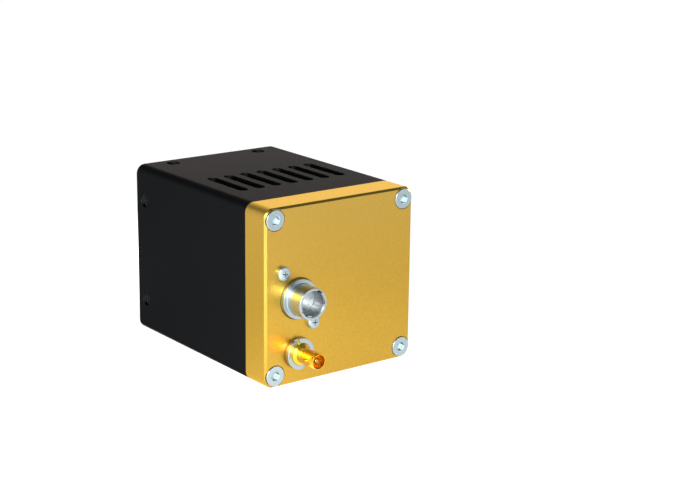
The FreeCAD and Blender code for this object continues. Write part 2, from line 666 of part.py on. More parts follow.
coax_contact = new_body("coax_contact", coax_place)
s = sketch(coax_contact, "profile", role="XY_Plane")
polygon(s, [(0.0, IO_REAR), (0.38, IO_REAR), (0.38, seat + 1.4), (0.55, seat + 1.4), (0.55, T - 1.25),
            (0.42, T - 1.1), (0.24, T - 1.1), (0.24, T - 3.4), (0.0, T - 3.4)])
revolve(coax_contact, s)

coax_washer = new_body("coax_washer", coax_place)
s = sketch(coax_washer, "ring", at=P.cover_rear)
circle(s, P.washer_radius)
circle(s, P.coax_thread_radius)
pad(coax_washer, s, P.washer_top - P.cover_rear)

coax_nut = new_body("coax_nut", coax_place)
s = sketch(coax_nut, "profile", role="XY_Plane")
polygon(s, [(P.coax_thread_radius, P.washer_top), (P.nut_base_radius, P.washer_top),
            (P.nut_base_radius, P.nut_top - 0.12), (P.nut_face_radius, P.nut_top),
            (P.coax_thread_radius + 0.12, P.nut_top), (P.coax_thread_radius, P.nut_top - 0.12)])
revolve(coax_nut, s)
s = sketch(coax_nut, "slots", at=P.nut_top)
c, n = math.cos(math.radians(73.0)), math.sin(math.radians(73.0))
h = 0.72
for k in (1.0, -1.0):
    polygon(s, [(dim(k * 2.6 * c + h * n), dim(k * 2.6 * n - h * c)), (dim(k * 5.4 * c + h * n), dim(k * 5.4 * n - h * c)),
                (dim(k * 5.4 * c - h * n), dim(k * 5.4 * n + h * c)), (dim(k * 2.6 * c - h * n), dim(k * 2.6 * n + h * c))])
pocket(coax_nut, s, 0.95, back=False)

# ---------------------------------------------------------------- image sensor
sensor_package = new_body("sensor_package")
s = sketch(sensor_package, "outline", at=P.package_front)
rectangle(s, -P.package_half, P.package_half, -P.package_half, P.package_half)
f = pad(sensor_package, s, BLOCK - P.package_front)
s = sketch(sensor_package, "recess", at=P.package_front)
rectangle(s, -P.package_recess, P.package_recess, -P.package_recess, P.package_recess)
f = pocket(sensor_package, s, P.die_seat - P.package_front)
NODES.append(block("sensor_die", -P.die_half_x, P.die_half_x, P.die_front, P.die_seat,
                   -P.die_half_z, P.die_half_z))
NODES.append(block("sensor_window", -P.window_half, P.window_half, P.window_front, P.package_front,
                   -P.window_half, P.window_half))
sensor_gasket = new_body("sensor_gasket")
s = sketch(sensor_gasket, "frame", at=P.chamber_end)
g = P.package_well - 0.2
rectangle(s, -g, g, -g, g)
circle(s, P.chamber_radius - 0.1)
pad(sensor_gasket, s, P.window_front - P.chamber_end)


# ---------------------------------------------------------------- circuit boards
def board(label, front, holes=True):
    body = new_body(label)
    sk = sketch(body, "outline", at=front)
    polygon(sk, cavity_outline(P.board_half, P.board_notch))
    for a, b in signs(1, 1):
        circle(sk, P.stack_hole, P.stack_x * a, P.stack_z * b)
    pad(body, sk, P.board_thick)
    return body


sensor_board = board("sensor_board", BLOCK)
cpu_board = board("processor_board", P.cpu_board_front)
s = sketch(cpu_board, "sink_holes", at=P.cpu_board_front)
for a, b in signs(1, 1):
    circle(s, P.stack_hole, P.sink_post * a, P.sink_post * b)
pocket(cpu_board, s, P.board_thick)
io_board = board("interface_board", P.io_board_front)


# ---------------------------------------------------------------- hexagonal standoffs
def standoffs(label, front, rear, stud):
    body = new_body(label)
    sk = sketch(body, "hexagons", at=front)
    hr = P.standoff_flats * (0.5 / math.cos(math.pi / 6))
    for a, b in signs(1, 1):
        cx, cz = P.stack_x * a, P.stack_z * b
        polygon(sk, [(cx + hr * math.cos(math.pi / 3 * k + math.pi / 6), cz + hr * math.sin(math.pi / 3 * k + math.pi / 6))
                     for k in range(6)])
    pad(body, sk, rear - front)
    sk = sketch(body, "studs", at=front - stud)
    for a, b in signs(1, 1):
        circle(sk, P.stack_hole, P.stack_x * a, P.stack_z * b)
    pad(body, sk, stud)
    sk = sketch(body, "taps", at=rear)
    for a, b in signs(1, 1):
        circle(sk, P.stack_hole, P.stack_x * a, P.stack_z * b)
    pocket(body, sk, 6.0, back=False)
    return body


standoffs("front_standoffs", SENSOR_REAR, P.cpu_board_front, P.board_thick + 4.4)
standoffs("rear_standoffs", CPU_REAR, P.io_board_front, P.board_thick + 4.0)

board_screws = new_body("board_screws")
s = sketch(board_screws, "heads", at=IO_REAR)
for a, b in signs(1, 1):
    circle(s, 1.9, P.stack_x * a, P.stack_z * b)
f = pad(board_screws, s, 1.3)
f = dress(board_screws, "Fillet", f, flat_at(IO_REAR.num + 1.3), 0.5)
s = sketch(board_screws, "shanks", at=IO_REAR)
for a, b in signs(1, 1):
    circle(s, P.stack_hole, P.stack_x * a, P.stack_z * b)
pad(board_screws, s, P.board_thick + 4.0, back=False)
s = sketch(board_screws, "recess", at=IO_REAR + 1.3)
for a, b in signs(1, 1):
    cx, cz = P.stack_x * a, P.stack_z * b
    polygon(s, [(cx + p, cz + q) for p, q in (
        (0.8, -0.16), (0.8, 0.16), (0.16, 0.16), (0.16, 0.8), (-0.16, 0.8), (-0.16, 0.16),
        (-0.8, 0.16), (-0.8, -0.16), (-0.16, -0.16), (-0.16, -0.8), (0.16, -0.8), (0.16, -0.16))])
pocket(board_screws, s, 0.7, back=False)

# ---------------------------------------------------------------- processor, memory, heat sink
processor = block("processor_chip", -11.5, 11.5, CPU_REAR, CPU_REAR + 2.2, -11.5, 11.5)
NODES.append(processor)
NODES.append(block("thermal_pad", -11.0, 11.0, CPU_REAR + 2.2, P.sink_base_front, -11.0, 11.0))
chips = []
for k, (cx, cz) in enumerate(((-6.5, 8.0), (6.5, 8.0), (-6.5, -8.0), (6.5, -8.0))):
    chips.append(block("memory_chip_%d" % (k + 1), cx - 4.5, cx + 4.5, P.cpu_board_front - 1.1,
                       P.cpu_board_front, cz - 5.5, cz + 5.5))
group("memory_chips", chips)

heat_sink = new_body("heat_sink")
s = sketch(heat_sink, "base", at=P.sink_base_front)
rectangle(s, -P.sink_half, P.sink_half, -P.sink_half, P.sink_half)
pad(heat_sink, s, P.sink_base_rear - P.sink_base_front)
s = sketch(heat_sink, "fin", at=P.sink_base_rear)
rectangle(s, P.fin_pitch * -4.5 - P.fin_thick * 0.5, P.fin_pitch * -4.5 + P.fin_thick * 0.5, -P.sink_half, P.sink_half)
f = pad(heat_sink, s, P.sink_fin_end - P.sink_base_rear)
f = linear(heat_sink, [f], "X_Axis", P.fin_pitch * 9.0, 10)
s = sketch(heat_sink, "posts", at=CPU_REAR)
for a, b in signs(1, 1):
    circle(s, 2.2, P.sink_post * a, P.sink_post * b)
pad(heat_sink, s, P.sink_base_front - CPU_REAR)
s = sketch(heat_sink, "taps", at=CPU_REAR)
for a, b in signs(1, 1):
    circle(s, P.stack_hole, P.sink_post * a, P.sink_post * b)
pocket(heat_sink, s, 5.0)

sink_screws = new_body("heat_sink_screws")
s = sketch(sink_screws, "heads", at=P.cpu_board_front - 1.3)
for a, b in signs(1, 1):
    circle(s, 1.9, P.sink_post * a, P.sink_post * b)
f = pad(sink_screws, s, 1.3)
f = dress(sink_screws, "Fillet", f, flat_at(P.cpu_board_front.num - 1.3), 0.5)
s = sketch(sink_screws, "shanks", at=P.cpu_board_front)
for a, b in signs(1, 1):
    circle(s, P.stack_hole, P.sink_post * a, P.sink_post * b)
pad(sink_screws, s, P.board_thick + 4.0)
s = sketch(sink_screws, "recess", at=P.cpu_board_front - 1.3)
for a, b in signs(1, 1):
    cx, cz = P.sink_post * a, P.sink_post * b
    polygon(s, [(cx + p, cz + q) for p, q in (
        (0.8, -0.16), (0.8, 0.16), (0.16, 0.16), (0.16, 0.8), (-0.16, 0.8), (-0.16, 0.16),
        (-0.8, 0.16), (-0.8, -0.16), (-0.16, -0.16), (-0.16, -0.8), (0.16, -0.8), (0.16, -0.16))])
pocket(sink_screws, s, 0.7)

# ---------------------------------------------------------------- board-to-board connectors
# sensor board to processor board: a socket strip that a plug strip enters
socket = new_body("sensor_socket")
s = sketch(socket, "block", at=SENSOR_REAR)
rectangle(s, -11.0, 11.0, -22.4, -18.0)
pad(socket, s, 8.0)
s = sketch(socket, "trough", at=SENSOR_REAR + 8.0)
rectangle(s, -10.0, 10.0, -21.3, -19.1)
pocket(socket, s, 3.0, back=False)
plug = new_body("sensor_plug")
s = sketch(plug, "block", at=SENSOR_REAR + 8.0)
rectangle(s, -11.0, 11.0, -22.4, -18.0)
pad(plug, s, P.cpu_board_front - SENSOR_REAR - 8.0)
s = sketch(plug, "tongue", at=SENSOR_REAR + 5.2)
rectangle(s, -9.7, 9.7, -21.0, -19.4)
pad(plug, s, 2.8)

# processor board to interface board: a pin header and its socket strip
header = new_body("stack_header")
s = sketch(header, "block", at=CPU_REAR)
rectangle(s, -12.7, 12.7, -22.7, -18.0)
pad(header, s, 2.5)
s = sketch(header, "ways", at=CPU_REAR)
rectangle(s, -11.75, -11.11, -21.94, -21.3)
rectangle(s, -11.75, -11.11, -19.4, -18.76)
f = pocket(header, s, 2.5)
f = linear(header, [f], "X_Axis", 2.54 * 9, 10)
header_pins = new_body("stack_pins")
s = sketch(header_pins, "pins", at=CPU_REAR)
rectangle(s, -11.75, -11.11, -21.94, -21.3)
rectangle(s, -11.75, -11.11, -19.4, -18.76)
f = pad(header_pins, s, 23.5)
f = linear(header_pins, [f], "X_Axis", 2.54 * 9, 10)
header_socket = new_body("stack_socket")
s = sketch(header_socket, "block", at=P.io_board_front - 8.5)
rectangle(s, -12.7, 12.7, -22.7, -18.0)
pad(header_socket, s, 8.5)
s = sketch(header_socket, "ways", at=P.io_board_front - 8.5)
rectangle(s, -11.83, -11.03, -22.02, -21.22)
rectangle(s, -11.83, -11.03, -19.48, -18.68)
f = pocket(header_socket, s, 6.0)
f = linear(header_socket, [f], "X_Axis", 2.54 * 9, 10)

# ---------------------------------------------------------------- power parts of the interface board
chokes = []
for k, cx in enumerate((-13.0, -4.5)):
    f = block("choke_%d" % (k + 1), cx - 3.4, cx + 3.4, P.io_board_front - 4.2, P.io_board_front, 9.5, 16.3)
    r = doc.addObject("Part::Fillet", "choke_round_%d" % (k + 1))
    r.Base = f
    r.Edges = [(i, 0.9, 0.9) for i, e in enumerate(f.Shape.Edges, start=1)
               if e.BoundBox.YLength > 1 and e.BoundBox.XLength < 0.1]
    chokes.append(r)
doc.recompute()
group("power_inductors", chokes)

capacitors = new_body("filter_capacitors")
s = sketch(capacitors, "cans", at=P.io_board_front - 5.6)
for cx in (5.5, 13.5):
    circle(s, 3.15, cx, 12.9)
circle(s, 3.15, -8.5, -9.0)
f = pad(capacitors, s, 5.6)
dress(capacitors, "Fillet", f, flat_at(P.io_board_front.num - 5.6), 0.4)

# ---------------------------------------------------------------- check and write
doc.recompute()
bad = []
for obj in doc.Objects:
    if "Invalid" in obj.State or "Error" in obj.State:
        bad.append("%s: %s" % (obj.Name, obj.State))
for obj in NODES:
    shape = obj.Shape
    if shape.isNull() or not shape.isValid() or not shape.Solids:
        bad.append("%s: shape is not usable" % obj.Label)
if bad:
    raise RuntimeError("; ".join(bad))

os.makedirs("parts", exist_ok=True)
for obj in NODES:
    obj.Shape.exportStep("parts/%s.step" % obj.Label)
    box = obj.Shape.BoundBox
    print("%-22s solids %2d volume %10.2f  x %.2f..%.2f  y %.2f..%.2f  z %.2f..%.2f" % (
        obj.Label, len(obj.Shape.Solids), obj.Shape.Volume,
        box.XMin, box.XMax, box.YMin, box.YMax, box.ZMin, box.ZMax))
print("%d sub-parts written" % len(NODES))
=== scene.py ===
import json
import math
import bmesh
import bpy
from mathutils import Matrix, Quaternion, Vector


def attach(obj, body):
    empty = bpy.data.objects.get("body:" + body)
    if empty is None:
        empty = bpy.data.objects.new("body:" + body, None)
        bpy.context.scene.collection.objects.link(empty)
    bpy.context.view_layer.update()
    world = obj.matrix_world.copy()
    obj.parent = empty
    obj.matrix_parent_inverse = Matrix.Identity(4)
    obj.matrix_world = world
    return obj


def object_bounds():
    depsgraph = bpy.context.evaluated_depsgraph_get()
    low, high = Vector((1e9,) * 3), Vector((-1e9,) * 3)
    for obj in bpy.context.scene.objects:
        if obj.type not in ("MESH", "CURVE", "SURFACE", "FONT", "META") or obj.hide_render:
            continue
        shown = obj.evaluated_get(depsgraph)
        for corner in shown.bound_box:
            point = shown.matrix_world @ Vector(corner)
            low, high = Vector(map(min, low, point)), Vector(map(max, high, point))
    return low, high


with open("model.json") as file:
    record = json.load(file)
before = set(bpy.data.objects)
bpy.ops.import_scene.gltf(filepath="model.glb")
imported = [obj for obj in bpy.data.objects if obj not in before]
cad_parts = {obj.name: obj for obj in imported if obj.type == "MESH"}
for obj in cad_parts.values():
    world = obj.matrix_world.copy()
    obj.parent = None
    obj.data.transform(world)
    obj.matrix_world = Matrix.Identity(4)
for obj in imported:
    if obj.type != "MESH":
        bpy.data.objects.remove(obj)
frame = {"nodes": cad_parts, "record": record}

CAD_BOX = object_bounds()
NODES = frame["nodes"]
MM = 0.001
scene = bpy.context.scene


# ------------------------------------------------------------------ material helper
class Mat:
    """A node material around one Principled shader, patterned in the object's own space."""

    def __init__(self, name, base, metallic=0.0, roughness=0.5, **sockets):
        self.m = bpy.data.materials.new(name)
        self.m.use_nodes = True
        self.t = self.m.node_tree
        self.t.nodes.clear()
        self.out = self.t.nodes.new("ShaderNodeOutputMaterial")
        self.b = self.t.nodes.new("ShaderNodeBsdfPrincipled")
        self.t.links.new(self.b.outputs[0], self.out.inputs[0])
        self.b.inputs["Base Color"].default_value = (*base, 1.0)
        self.b.inputs["Metallic"].default_value = metallic
        self.b.inputs["Roughness"].default_value = roughness
        for key, value in sockets.items():
            self.b.inputs[key.replace("_", " ")].default_value = value
        self.coord = self.t.nodes.new("ShaderNodeTexCoord").outputs["Object"]

    def link(self, a, b):
        self.t.links.new(a, b)

    def mapped(self, scale=(1, 1, 1), location=(0, 0, 0), rotation=(0, 0, 0)):
        n = self.t.nodes.new("ShaderNodeMapping")
        n.inputs["Scale"].default_value = scale
        n.inputs["Location"].default_value = location
        n.inputs["Rotation"].default_value = rotation
        self.link(self.coord, n.inputs["Vector"])
        return n.outputs["Vector"]

    def noise(self, size_mm, detail=2.0, rough=0.5, distortion=0.0, vector=None, lacunarity=2.0):
        n = self.t.nodes.new("ShaderNodeTexNoise")
        n.inputs["Scale"].default_value = 1000.0 / size_mm
        n.inputs["Detail"].default_value = detail
        n.inputs["Roughness"].default_value = rough
        n.inputs["Lacunarity"].default_value = lacunarity
        n.inputs["Distortion"].default_value = distortion
        self.link(vector or self.coord, n.inputs["Vector"])
        return n.outputs["Fac"]

    def voronoi(self, size_mm, feature="F1", vector=None, output="Distance"):
        n = self.t.nodes.new("ShaderNodeTexVoronoi")
        n.feature = feature
        n.inputs["Scale"].default_value = 1000.0 / size_mm
        self.link(vector or self.coord, n.inputs["Vector"])
        return n.outputs[output]

    def span(self, fac, low, high, to_low, to_high, smooth=False):
        n = self.t.nodes.new("ShaderNodeMapRange")
        n.clamp = True
        n.interpolation_type = "SMOOTHSTEP" if smooth else "LINEAR"
        for key, value in (("From Min", low), ("From Max", high), ("To Min", to_low), ("To Max", to_high)):
            n.inputs[key].default_value = value
        self.link(fac, n.inputs["Value"])
        return n.outputs["Result"]

    def math(self, kind, a, b=None):
        n = self.t.nodes.new("ShaderNodeMath")
        n.operation = kind
        for i, v in enumerate((a, b)):
            if v is None:
                continue
            if isinstance(v, (int, float)):
                n.inputs[i].default_value = v
            else:
                self.link(v, n.inputs[i])
        return n.outputs[0]

    def axis(self, name):
        n = self.t.nodes.new("ShaderNodeSeparateXYZ")
        self.link(self.coord, n.inputs[0])
        return n.outputs[name]

    def radius(self, x=0.0, z=0.0):
        """Distance from an axis parallel to Y, in metres."""
        n = self.t.nodes.new("ShaderNodeSeparateXYZ")
        self.link(self.coord, n.inputs[0])
        dx = self.math("SUBTRACT", n.outputs["X"], x)
        dz = self.math("SUBTRACT", n.outputs["Z"], z)
        return self.math("SQRT", self.math("ADD", self.math("MULTIPLY", dx, dx), self.math("MULTIPLY", dz, dz)))

    def ramp(self, fac, stops, mode="LINEAR"):
        n = self.t.nodes.new("ShaderNodeValToRGB")
        n.color_ramp.interpolation = mode
        e = n.color_ramp.elements
        while len(e) < len(stops):
            e.new(0.5)
        for k, (pos, col) in enumerate(stops):
            e[k].position = pos
            e[k].color = (*col, 1.0)
        self.link(fac, n.inputs["Fac"])
        return n.outputs["Color"]

    def mix(self, fac, a, b, kind="MIX"):
        n = self.t.nodes.new("ShaderNodeMix")
        n.data_type = "RGBA"
        n.blend_type = kind
        if isinstance(fac, (int, float)):
            n.inputs["Factor"].default_value = fac
        else:
            self.link(fac, n.inputs["Factor"])
        for key, v in ((6, a), (7, b)):
            if isinstance(v, tuple):
                n.inputs[key].default_value = (*v, 1.0)
            else:
                self.link(v, n.inputs[key])
        return n.outputs[2]

    def bump(self, height, strength, depth_mm, normal=None):
        n = self.t.nodes.new("ShaderNodeBump")
        n.inputs["Strength"].default_value = strength
        n.inputs["Distance"].default_value = depth_mm * MM
        self.link(height, n.inputs["Height"])
        if normal is not None:
            self.link(normal, n.inputs["Normal"])
        return n.outputs["Normal"]

    def soft_edge(self, radius_mm, samples=4):
        n = self.t.nodes.new("ShaderNodeBevel")
        n.samples = samples
        n.inputs["Radius"].default_value = radius_mm * MM
        return n.outputs["Normal"]

    def to(self, socket, source):
        self.link(source, self.b.inputs[socket])
        return self


def shades(base, low, high):
    return (tuple(c * low for c in base), tuple(c * high for c in base))


# ------------------------------------------------------------------ materials
def black_anodised():
    base = (0.0160, 0.0184, 0.0195)
    m = Mat("black_anodised", base, metallic=1.0, roughness=0.42)
    m.b.inputs["Specular Tint"].default_value = (0.436, 0.421, 0.416, 1.0)
    grain = m.noise(0.22, detail=3.0, rough=0.65)
    cloud = m.noise(17.0, detail=3.0, rough=0.55)
    lo, hi = shades(base, 0.84, 1.16)
    tone = m.ramp(grain, [(0.32, lo), (0.70, hi)])
    tone = m.mix(m.span(cloud, 0.3, 0.7, 0.0, 0.10), tone, (0.026, 0.026, 0.025))
    # painted shade: the lens bore and the chamber behind it are painted darker than the outside, with pale
    # flecks, and made duller
    bore = m.math("MULTIPLY", m.span(m.radius(), 0.0157, 0.0155, 0.0, 1.0), m.span(m.axis("Y"), 0.0003, 0.0006, 0.0, 1.0))
    fleck = m.span(m.noise(0.34, detail=2.0, rough=0.6), 0.56, 0.70, 0.0, 1.0)
    bore_tone = m.mix(fleck, (0.006, 0.006, 0.006), (0.075, 0.055, 0.050))
    m.to("Base Color", m.mix(bore, tone, bore_tone))
    rough = m.span(m.noise(0.5, detail=2.0), 0.3, 0.7, 0.385, 0.455)
    m.to("Roughness", m.math("ADD", rough, m.math("MULTIPLY", bore, 0.16)))
    n = m.soft_edge(0.14)
    n = m.bump(grain, 0.35, 0.006, n)
    m.to("Normal", m.bump(m.noise(0.09, detail=1.0), 0.22, 0.004, n))
    return m.m


def gold_anodised():
    base = (0.515, 0.311, 0.0476)
    m = Mat("gold_anodised", base, metallic=1.0, roughness=0.33)
    m.b.inputs["Specular Tint"].default_value = (1.0, 0.82, 0.50, 1.0)
    grain = m.noise(0.42, detail=3.0, rough=0.72)
    fine = m.noise(0.17, detail=2.0, rough=0.6)
    cloud = m.noise(14.0, detail=2.0, rough=0.5)
    lo, hi = (0.478, 0.286, 0.0395), (0.556, 0.342, 0.0545)
    tone = m.ramp(grain, [(0.34, lo), (0.66, hi)])
    tone = m.mix(m.span(cloud, 0.3, 0.7, 0.0, 0.12), tone, (0.535, 0.328, 0.046))
    # painted sheen: the walls are painted a little paler towards the top, standing in for a whitish sheen on the
    # gold
    z = m.axis("Z")
    painted_sheen = m.math("MULTIPLY", m.span(z, -0.002, 0.026, 0.0, 0.9), m.span(z, 0.0264, 0.0269, 1.0, 0.0))
    tone = m.mix(painted_sheen, tone, m.mix(0.5, tone, (0.550, 0.365, 0.092)))
    m.to("Base Color", tone)
    m.to("Roughness", m.span(fine, 0.3, 0.7, 0.29, 0.375))
    n = m.soft_edge(0.12)
    n = m.bump(grain, 0.22, 0.010, n)
    m.to("Normal", m.bump(fine, 0.25, 0.006, n))
    return m.m


def plated(name, base, rough, grain_mm=0.25, spread=0.10, bump=0.25, edge=0.06, tint=None, lathe=None,
           spots=None, bore=None, sockets=None):
    """Plated turned metal: fine mottle and turning rings about an axis if asked."""
    m = Mat(name, base, metallic=1.0, roughness=rough)
    if tint:
        m.b.inputs["Specular Tint"].default_value = (*tint, 1.0)
    grain = m.noise(grain_mm, detail=3.0, rough=0.6)
    lo, hi = shades(base, 1.0 - spread, 1.0 + spread)
    tone = m.ramp(grain, [(0.32, lo), (0.68, tuple(min(c, 0.995) for c in hi))])
    wear = m.noise(0.9, detail=4.0, rough=0.7)
    dull = m.span(wear, 0.3, 0.7, rough * 0.82, rough * 1.25)
    if spots:
        # small heads that are tumbled, so duller than the rest
        for x, z, r, more in spots:
            near = m.span(m.radius(x * MM, z * MM), r * MM, (r + 0.05) * MM, 1.0, 0.0)
            dull = m.math("ADD", dull, m.math("MULTIPLY", near, more))
    if bore:
        # painted shade: the bore is painted darker than the outside, and made duller
        x, z, r, low, high, dark = bore
        inside = m.math("MULTIPLY", m.span(m.radius(x * MM, z * MM), (r - 0.03) * MM, (r + 0.03) * MM, 1.0, 0.0),
                        m.math("MULTIPLY", m.span(m.axis("Y"), (low - 0.02) * MM, low * MM, 0.0, 1.0),
                               m.span(m.axis("Y"), (high - 0.04) * MM, high * MM, 1.0, 0.0)))
        tone = m.mix(inside, tone, dark)
        dull = m.math("ADD", dull, m.math("MULTIPLY", inside, 0.12))
    if sockets:
        # the bottoms of the pressed sockets are scaly, so darker and duller than the faces
        places, r, high, dark = sockets
        near = None
        for x, z in places:
            d = m.radius(x * MM, z * MM)
            near = d if near is None else m.math("MINIMUM", near, d)
        inside = m.math("MULTIPLY", m.span(near, (r - 0.02) * MM, (r + 0.02) * MM, 1.0, 0.0),
                        m.span(m.axis("Y"), (high - 0.02) * MM, (high + 0.02) * MM, 1.0, 0.0))
        tone = m.mix(inside, tone, dark)
        dull = m.math("ADD", dull, m.math("MULTIPLY", inside, 0.17))
    m.to("Base Color", tone)
    m.to("Roughness", dull)
    n = m.soft_edge(edge)
    n = m.bump(grain, bump, 0.004, n)
    if lathe:
        ring = None
        for x, z in lathe:
            r = m.radius(x * MM, z * MM)
            ring = r if ring is None else m.math("MINIMUM", ring, r)
        wave = m.math("SINE", m.math("MULTIPLY", ring, 2.0 * math.pi / (0.22 * MM)))
        n = m.bump(wave, 0.12, 0.003, n)
    m.to("Normal", n)
    return m.m


def moulded(name, base, rough=0.5, grain_mm=0.3, bump=0.3, spread=0.18, coat=0.0):
    m = Mat(name, base, roughness=rough)
    if coat:
        m.b.inputs["Coat Weight"].default_value = coat
        m.b.inputs["Coat Roughness"].default_value = 0.12
    grain = m.noise(grain_mm, detail=3.0, rough=0.6)
    lo, hi = shades(base, 1.0 - spread, 1.0 + spread)
    m.to("Base Color", m.ramp(grain, [(0.3, lo), (0.7, hi)]))
    m.to("Roughness", m.span(m.noise(1.3, detail=2.0), 0.3, 0.7, rough * 0.88, rough * 1.12))
    m.to("Normal", m.bump(grain, bump, 0.01, m.soft_edge(0.05)))
    return m.m


def silicon():
    """Sensor die: dark silicon with a painted band of colours, a painted diffraction sheen standing in for the
    light its fine pixel grid splits.
    """
    m = Mat("silicon", (0.1, 0.1, 0.12), metallic=1.0, roughness=0.16)
    sep = m.t.nodes.new("ShaderNodeSeparateXYZ")
    m.link(m.coord, sep.inputs[0])
    # the painted rainbow band runs from the upper left of the front view down to the lower right
    wob = m.math("MULTIPLY", m.math("SUBTRACT", m.noise(6.0, detail=1.0), 0.5), 0.0016)
    down = m.math("MULTIPLY", sep.outputs["Z"], -0.80)
    along = m.math("ADD", m.math("ADD", m.math("MULTIPLY", sep.outputs["X"], 0.60), down), wob)
    t = m.span(along, -0.0125, 0.0105, 0.0, 1.0)
    painted_rainbow = m.ramp(t, [(0.0, (0.05, 0.10, 0.28)), (0.20, (0.02, 0.33, 0.80)), (0.33, (0.01, 0.50, 0.42)),
                      (0.45, (0.03, 0.62, 0.07)), (0.58, (0.36, 0.46, 0.01)), (0.70, (0.62, 0.22, 0.01)),
                      (0.84, (0.42, 0.07, 0.01)), (1.0, (0.06, 0.02, 0.015))])
    # active area, with its dark border and fine column lines
    ax = m.math("ABSOLUTE", sep.outputs["X"])
    az = m.math("ABSOLUTE", sep.outputs["Z"])
    inside = m.math("MULTIPLY", m.span(ax, 0.00845, 0.00835, 0.0, 1.0), m.span(az, 0.01135, 0.01125, 0.0, 1.0))
    lines = m.math("SINE", m.math("MULTIPLY", sep.outputs["X"], 2.0 * math.pi / 0.00045))
    tone = m.mix(m.span(lines, -1.0, 1.0, 0.0, 0.22), painted_rainbow, (0.01, 0.01, 0.012))
    border = m.mix(m.span(m.noise(0.5, detail=2.0), 0.4, 0.6, 0.0, 1.0), (0.05, 0.045, 0.04), (0.12, 0.10, 0.08))
    m.to("Base Color", m.mix(inside, border, tone))
    m.to("Roughness", m.span(m.noise(0.6, detail=2.0), 0.3, 0.7, 0.13, 0.20))
    m.to("Normal", m.bump(lines, 0.05, 0.002))
    return m.m


def window_glass():
    m = Mat("window_glass", (0.75, 0.80, 0.86), metallic=1.0, roughness=0.04)
    see = m.t.nodes.new("ShaderNodeBsdfTransparent")
    see.inputs[0].default_value = (0.97, 0.985, 0.98, 1.0)
    mix = m.t.nodes.new("ShaderNodeMixShader")
    fres = m.t.nodes.new("ShaderNodeFresnel")
    fres.inputs["IOR"].default_value = 1.18
    m.link(fres.outputs[0], mix.inputs[0])
    m.link(see.outputs[0], mix.inputs[1])
    m.link(m.b.outputs[0], mix.inputs[2])
    m.link(mix.outputs[0], m.out.inputs[0])
    haze = m.noise(3.0, detail=4.0, rough=0.6)
    m.to("Roughness", m.span(haze, 0.35, 0.7, 0.03, 0.08))
    m.to("Base Color", m.ramp(haze, [(0.3, (0.70, 0.76, 0.84)), (0.7, (0.80, 0.83, 0.88))]))
    return m.m


def circuit_board():
    base = (0.012, 0.016, 0.014)
    m = Mat("black_board", base, roughness=0.38)
    m.b.inputs["Coat Weight"].default_value = 0.4
    m.b.inputs["Coat Roughness"].default_value = 0.2
    weave = m.t.nodes.new("ShaderNodeTexBrick")
    weave.inputs["Scale"].default_value = 1000.0 / 2.2
    weave.inputs["Color1"].default_value = (0.010, 0.014, 0.012, 1)
    weave.inputs["Color2"].default_value = (0.018, 0.024, 0.021, 1)
    weave.inputs["Mortar"].default_value = (0.030, 0.038, 0.030, 1)
    weave.inputs["Mortar Size"].default_value = 0.03
    m.link(m.mapped(rotation=(math.radians(90), 0, 0)), weave.inputs["Vector"])
    m.to("Base Color", weave.outputs["Color"])
    m.to("Roughness", m.span(m.noise(1.0, detail=2.0), 0.3, 0.7, 0.30, 0.46))
    m.to("Normal", m.bump(weave.outputs["Fac"], 0.3, 0.02))
    return m.m


RX, RZ, CX, CZ = 15.34, -1.09, 15.34, -17.75
SMALL = [(20.9, 7.2), (10.2, -9.1)]
CORNERS = [(sx * 23.45, sz * 23.45) for sx in (1, -1) for sz in (1, -1)]

MATERIALS = {
    "black_anodised": black_anodised(),
    "gold_anodised": gold_anodised(),
    "zinc_steel": plated("zinc_steel", (0.385, 0.470, 0.495), 0.29, grain_mm=0.35, spread=0.05, edge=0.10,
                         tint=(1.0, 1.0, 1.0), lathe=CORNERS, spots=[(*c, 2.4, 0.12) for c in SMALL],
                         sockets=(CORNERS, 1.64, 82.95, (0.40, 0.49, 0.51))),
    # nickel_plate's bore colour is painted shade inside the receptacle
    "nickel_plate": plated("nickel_plate", (0.365, 0.428, 0.440), 0.31, grain_mm=0.3, spread=0.06, edge=0.07,
                           lathe=[(RX, RZ), (CX, CZ)], bore=(RX, RZ, 4.55, 86.1, 90.7, (0.19, 0.21, 0.22))),
    "contact_nickel": plated("contact_nickel", (0.76, 0.80, 0.82), 0.32, grain_mm=0.15),
    "grey_insulator": plated("grey_insulator", (0.80, 0.84, 0.86), 0.34, grain_mm=0.5, spread=0.04, bump=0.2),
    "contact_gold": plated("contact_gold", (0.80, 0.58, 0.22), 0.20, grain_mm=0.15),
    "gold_plate": plated("gold_plate", (0.90, 0.51, 0.034), 0.25, grain_mm=0.2, spread=0.05, edge=0.05,
                         lathe=[(CX, CZ)]),
    "ptfe": moulded("ptfe", (0.72, 0.66, 0.56), 0.45),
    "bronze_washer": plated("bronze_washer", (0.34, 0.17, 0.03), 0.34),
    "sensor_ceramic": moulded("sensor_ceramic", (0.030, 0.026, 0.026), 0.40),
    "silicon": silicon(),
    "window_glass": window_glass(),
    # thread_black is painted near-black, darker than the housing: painted shade inside the tapped holes
    "thread_black": moulded("thread_black", (0.005, 0.005, 0.006), 0.85, grain_mm=0.1),
    "black_rubber": moulded("black_rubber", (0.012, 0.012, 0.012), 0.65),
    "black_board": circuit_board(),
    "standoff_brass": plated("standoff_brass", (0.55, 0.57, 0.58), 0.28),
    "dark_steel": plated("dark_steel", (0.08, 0.08, 0.09), 0.35),
    "chip_plastic": moulded("chip_plastic", (0.020, 0.020, 0.022), 0.55, grain_mm=0.12),
    "thermal_rubber": moulded("thermal_rubber", (0.20, 0.22, 0.25), 0.75),
    "connector_plastic": moulded("connector_plastic", (0.014, 0.014, 0.014), 0.5),
    "ferrite": moulded("ferrite", (0.05, 0.05, 0.054), 0.6),
    "capacitor_can": plated("capacitor_can", (0.55, 0.56, 0.58), 0.30),
}

SLOT_OF = {s["node"]: s.get("material_slot") for s in frame["record"]["subparts"]}
for name, obj in NODES.items():
    obj.data.materials.clear()
    obj.data.materials.append(MATERIALS[SLOT_OF[name]])


